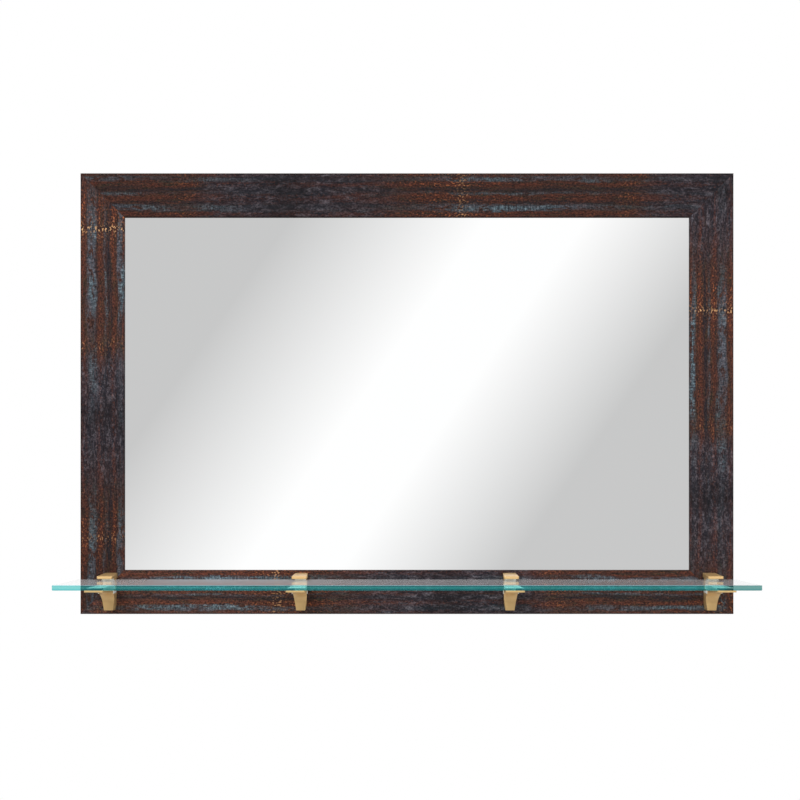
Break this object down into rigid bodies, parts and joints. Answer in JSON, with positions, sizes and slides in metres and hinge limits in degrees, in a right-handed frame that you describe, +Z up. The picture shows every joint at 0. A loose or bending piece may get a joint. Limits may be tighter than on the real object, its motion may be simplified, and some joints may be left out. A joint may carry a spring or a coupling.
{
  "type": "wall mirror with glass shelf",
  "caption": "Wide wall mirror in a flat dark wooden frame, with a clear glass shelf held in brass clamp brackets along its lower rail, hung on ring hangers.",
  "frame": {"origin": "in the wall plane, midway between the two hooks that the mirror hangs on", "axes": "+X to the right as seen from the front, +Y into the wall, +Z up; the mirror faces -Y"},
  "size_m": [0.8, 0.159, 0.54],
  "materials": {
    "wood_frame": "dark brown stain with grey-blue and rust streaks and small gold specks, satin",
    "mirror_glass": "silvered float glass",
    "hardboard": "bare hardboard",
    "shelf_glass": "clear tempered float glass with polished green edges",
    "brass": "lacquered, satin polished",
    "clear_pad": "soft clear plastic",
    "zinc_steel": "zinc plated",
    "rubber": "matt"
  },
  "bodies": {
    "frame": {"frame_top_rail": "wood_frame", "frame_bottom_rail": "wood_frame", "frame_left_stile": "wood_frame", "frame_right_stile": "wood_frame", "corner_v_nails": "zinc_steel", "mirror_glass": "mirror_glass", "backing_board": "hardboard", "glazing_points": "zinc_steel", "hanger_strap_left": "zinc_steel", "hanger_strap_right": "zinc_steel", "hanger_screws": "zinc_steel", "wall_bumpers": "rubber", "wall_plate_screws": "zinc_steel", "grub_screws": "zinc_steel", "bracket_body_1": "brass", "bracket_body_2": "brass", "bracket_body_3": "brass", "bracket_body_4": "brass", "arm_pad_1": "clear_pad", "arm_pad_2": "clear_pad", "arm_pad_3": "clear_pad", "arm_pad_4": "clear_pad", "back_pad_1": "clear_pad", "back_pad_2": "clear_pad", "back_pad_3": "clear_pad", "back_pad_4": "clear_pad", "wall_plate_1": "zinc_steel", "wall_plate_2": "zinc_steel", "wall_plate_3": "zinc_steel", "wall_plate_4": "zinc_steel"},
    "shelf": {"glass_shelf": "shelf_glass"},
    "jaw_1": {"clamp_jaw_1": "brass", "jaw_pad_1": "clear_pad"},
    "screw_1": {"clamp_screw_1": "zinc_steel"},
    "jaw_2": {"clamp_jaw_2": "brass", "jaw_pad_2": "clear_pad"},
    "screw_2": {"clamp_screw_2": "zinc_steel"},
    "jaw_3": {"clamp_jaw_3": "brass", "jaw_pad_3": "clear_pad"},
    "screw_3": {"clamp_screw_3": "zinc_steel"},
    "jaw_4": {"clamp_jaw_4": "brass", "jaw_pad_4": "clear_pad"},
    "screw_4": {"clamp_screw_4": "zinc_steel"},
    "ring_left": {"hanger_ring_left": "zinc_steel"},
    "ring_right": {"hanger_ring_right": "zinc_steel"}
  },
  "joints": [
    {"name": "shelf_slide", "type": "slide", "parent": "frame", "child": "shelf", "axis": [0, -1, 0], "range_m": [0, 0.0255]},
    {"name": "screw_1_turn", "type": "hinge", "parent": "frame", "child": "screw_1", "pos_m": [-0.362, -0.034, -0.4337], "axis": [0, 0, -1], "range_deg": [0, 2880]},
    {"name": "jaw_1_slide", "type": "slide", "parent": "frame", "child": "jaw_1", "axis": [0, 0, 1], "range_m": [0, 0.004]},
    {"name": "screw_2_turn", "type": "hinge", "parent": "frame", "child": "screw_2", "pos_m": [-0.129, -0.034, -0.4337], "axis": [0, 0, -1], "range_deg": [0, 2880]},
    {"name": "jaw_2_slide", "type": "slide", "parent": "frame", "child": "jaw_2", "axis": [0, 0, 1], "range_m": [0, 0.004]},
    {"name": "screw_3_turn", "type": "hinge", "parent": "frame", "child": "screw_3", "pos_m": [0.125, -0.034, -0.4337], "axis": [0, 0, -1], "range_deg": [0, 2880]},
    {"name": "jaw_3_slide", "type": "slide", "parent": "frame", "child": "jaw_3", "axis": [0, 0, 1], "range_m": [0, 0.004]},
    {"name": "screw_4_turn", "type": "hinge", "parent": "frame", "child": "screw_4", "pos_m": [0.3695, -0.034, -0.4337], "axis": [0, 0, -1], "range_deg": [0, 2880]},
    {"name": "jaw_4_slide", "type": "slide", "parent": "frame", "child": "jaw_4", "axis": [0, 0, 1], "range_m": [0, 0.004]},
    {"name": "ring_left_swing", "type": "hinge", "parent": "frame", "child": "ring_left", "pos_m": [-0.373, -0.0032, -0.0175], "axis": [-1, 0, 0], "range_deg": [-3, 180]},
    {"name": "ring_right_swing", "type": "hinge", "parent": "frame", "child": "ring_right", "pos_m": [0.373, -0.0032, -0.0175], "axis": [-1, 0, 0], "range_deg": [-3, 180]}
  ],
  "couplings": [
    {"joint": "screw_1_turn", "follows": "jaw_1_slide", "rad_per_m": 12566},
    {"joint": "screw_2_turn", "follows": "jaw_2_slide", "rad_per_m": 12566},
    {"joint": "screw_3_turn", "follows": "jaw_3_slide", "rad_per_m": 12566},
    {"joint": "screw_4_turn", "follows": "jaw_4_slide", "rad_per_m": 12566}
  ]
}
